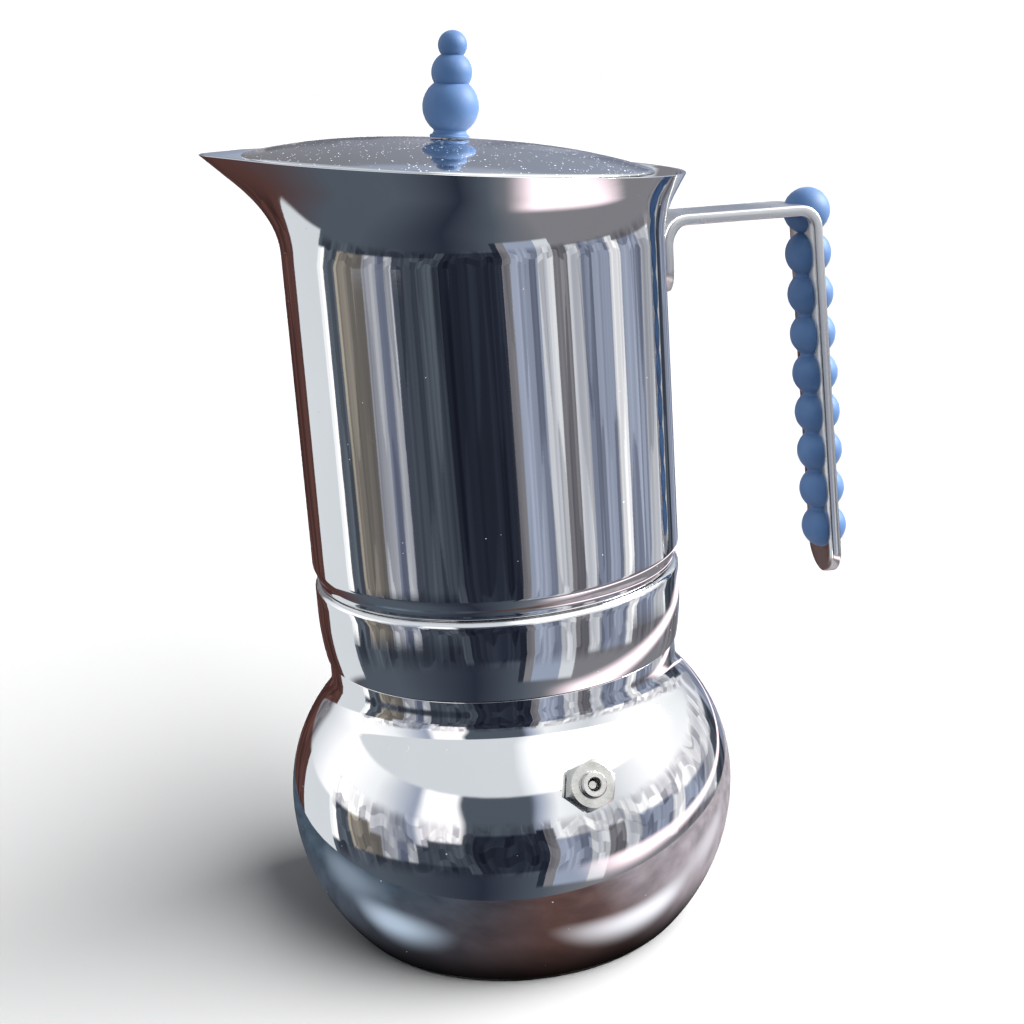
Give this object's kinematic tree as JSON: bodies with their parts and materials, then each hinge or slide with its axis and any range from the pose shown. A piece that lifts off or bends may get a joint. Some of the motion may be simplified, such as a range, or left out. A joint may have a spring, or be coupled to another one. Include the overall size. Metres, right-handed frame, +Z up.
{
  "type": "coffee percolator",
  "caption": "Stovetop steel coffee maker: round-bellied boiler, screw-on pouring jug, lift-off lid with ball knob and a strap handle gripped in blue beads.",
  "frame": {"origin": "centre of the underside of the base disc, on the surface the pot stands on", "axes": "+Z up along the boiler's axis, +X towards the handle, -X towards the spout"},
  "size_m": [0.1588, 0.1155, 0.2247],
  "materials": {
    "polished_steel": "mirror polished",
    "satin_steel": "satin",
    "valve_metal": "turned",
    "blue_grip": "soft matt",
    "seal_rubber": "matt"
  },
  "bodies": {
    "boiler": {"base_disc": "satin_steel", "boiler_shell": "polished_steel", "valve_body": "valve_metal", "valve_seal": "seal_rubber", "valve_nut": "valve_metal", "valve_seat": "valve_metal", "valve_spring": "satin_steel"},
    "poppet": {"valve_poppet": "valve_metal"},
    "funnel": {"funnel_basket": "satin_steel", "basket_sieve": "satin_steel", "funnel_tube": "satin_steel"},
    "gasket": {"gasket": "seal_rubber"},
    "filter": {"filter_plate": "satin_steel"},
    "jug": {"threaded_collar": "polished_steel", "jug_shell": "polished_steel", "riser_column": "satin_steel", "riser_cap": "satin_steel", "handle_strap": "polished_steel", "grip_outer": "blue_grip", "grip_inner": "blue_grip", "grip_corner_outer": "blue_grip", "grip_corner_inner": "blue_grip", "grip_pin_upper": "satin_steel", "grip_pin_lower": "satin_steel"},
    "lid": {"lid_shell": "polished_steel", "lid_skirt": "satin_steel", "knob": "blue_grip", "knob_screw": "satin_steel", "knob_washer": "satin_steel"}
  },
  "joints": [
    {"name": "funnel_lift", "type": "slide", "parent": "boiler", "child": "funnel", "axis": [0, 0, 1], "range_m": [0, 0.085]},
    {"name": "jug_lift", "type": "slide", "parent": "funnel", "child": "gasket", "axis": [0, 0, 1], "range_m": [0, 0.06]},
    {"name": "jug_rise", "type": "slide", "parent": "gasket", "child": "filter", "axis": [0, 0, 1], "range_m": [0, 0.00601]},
    {"name": "jug_turn", "type": "hinge", "parent": "filter", "child": "jug", "pos_m": [0, 0, 0.0925], "axis": [0, 0, 1], "range_deg": [0, 720]},
    {"name": "lid_lift", "type": "slide", "parent": "jug", "child": "lid", "axis": [0.1102, 0, 0.9939], "range_m": [0, 0.04]},
    {"name": "valve_open", "type": "slide", "parent": "boiler", "child": "poppet", "axis": [0.0858, -0.8911, 0.4455], "range_m": [0, 0.001], "stiffness_N_per_m": 1000, "springref_m": -0.002}
  ],
  "couplings": [
    {"joint": "jug_rise", "follows": "jug_turn", "m_per_rad": 0.00047746}
  ]
}
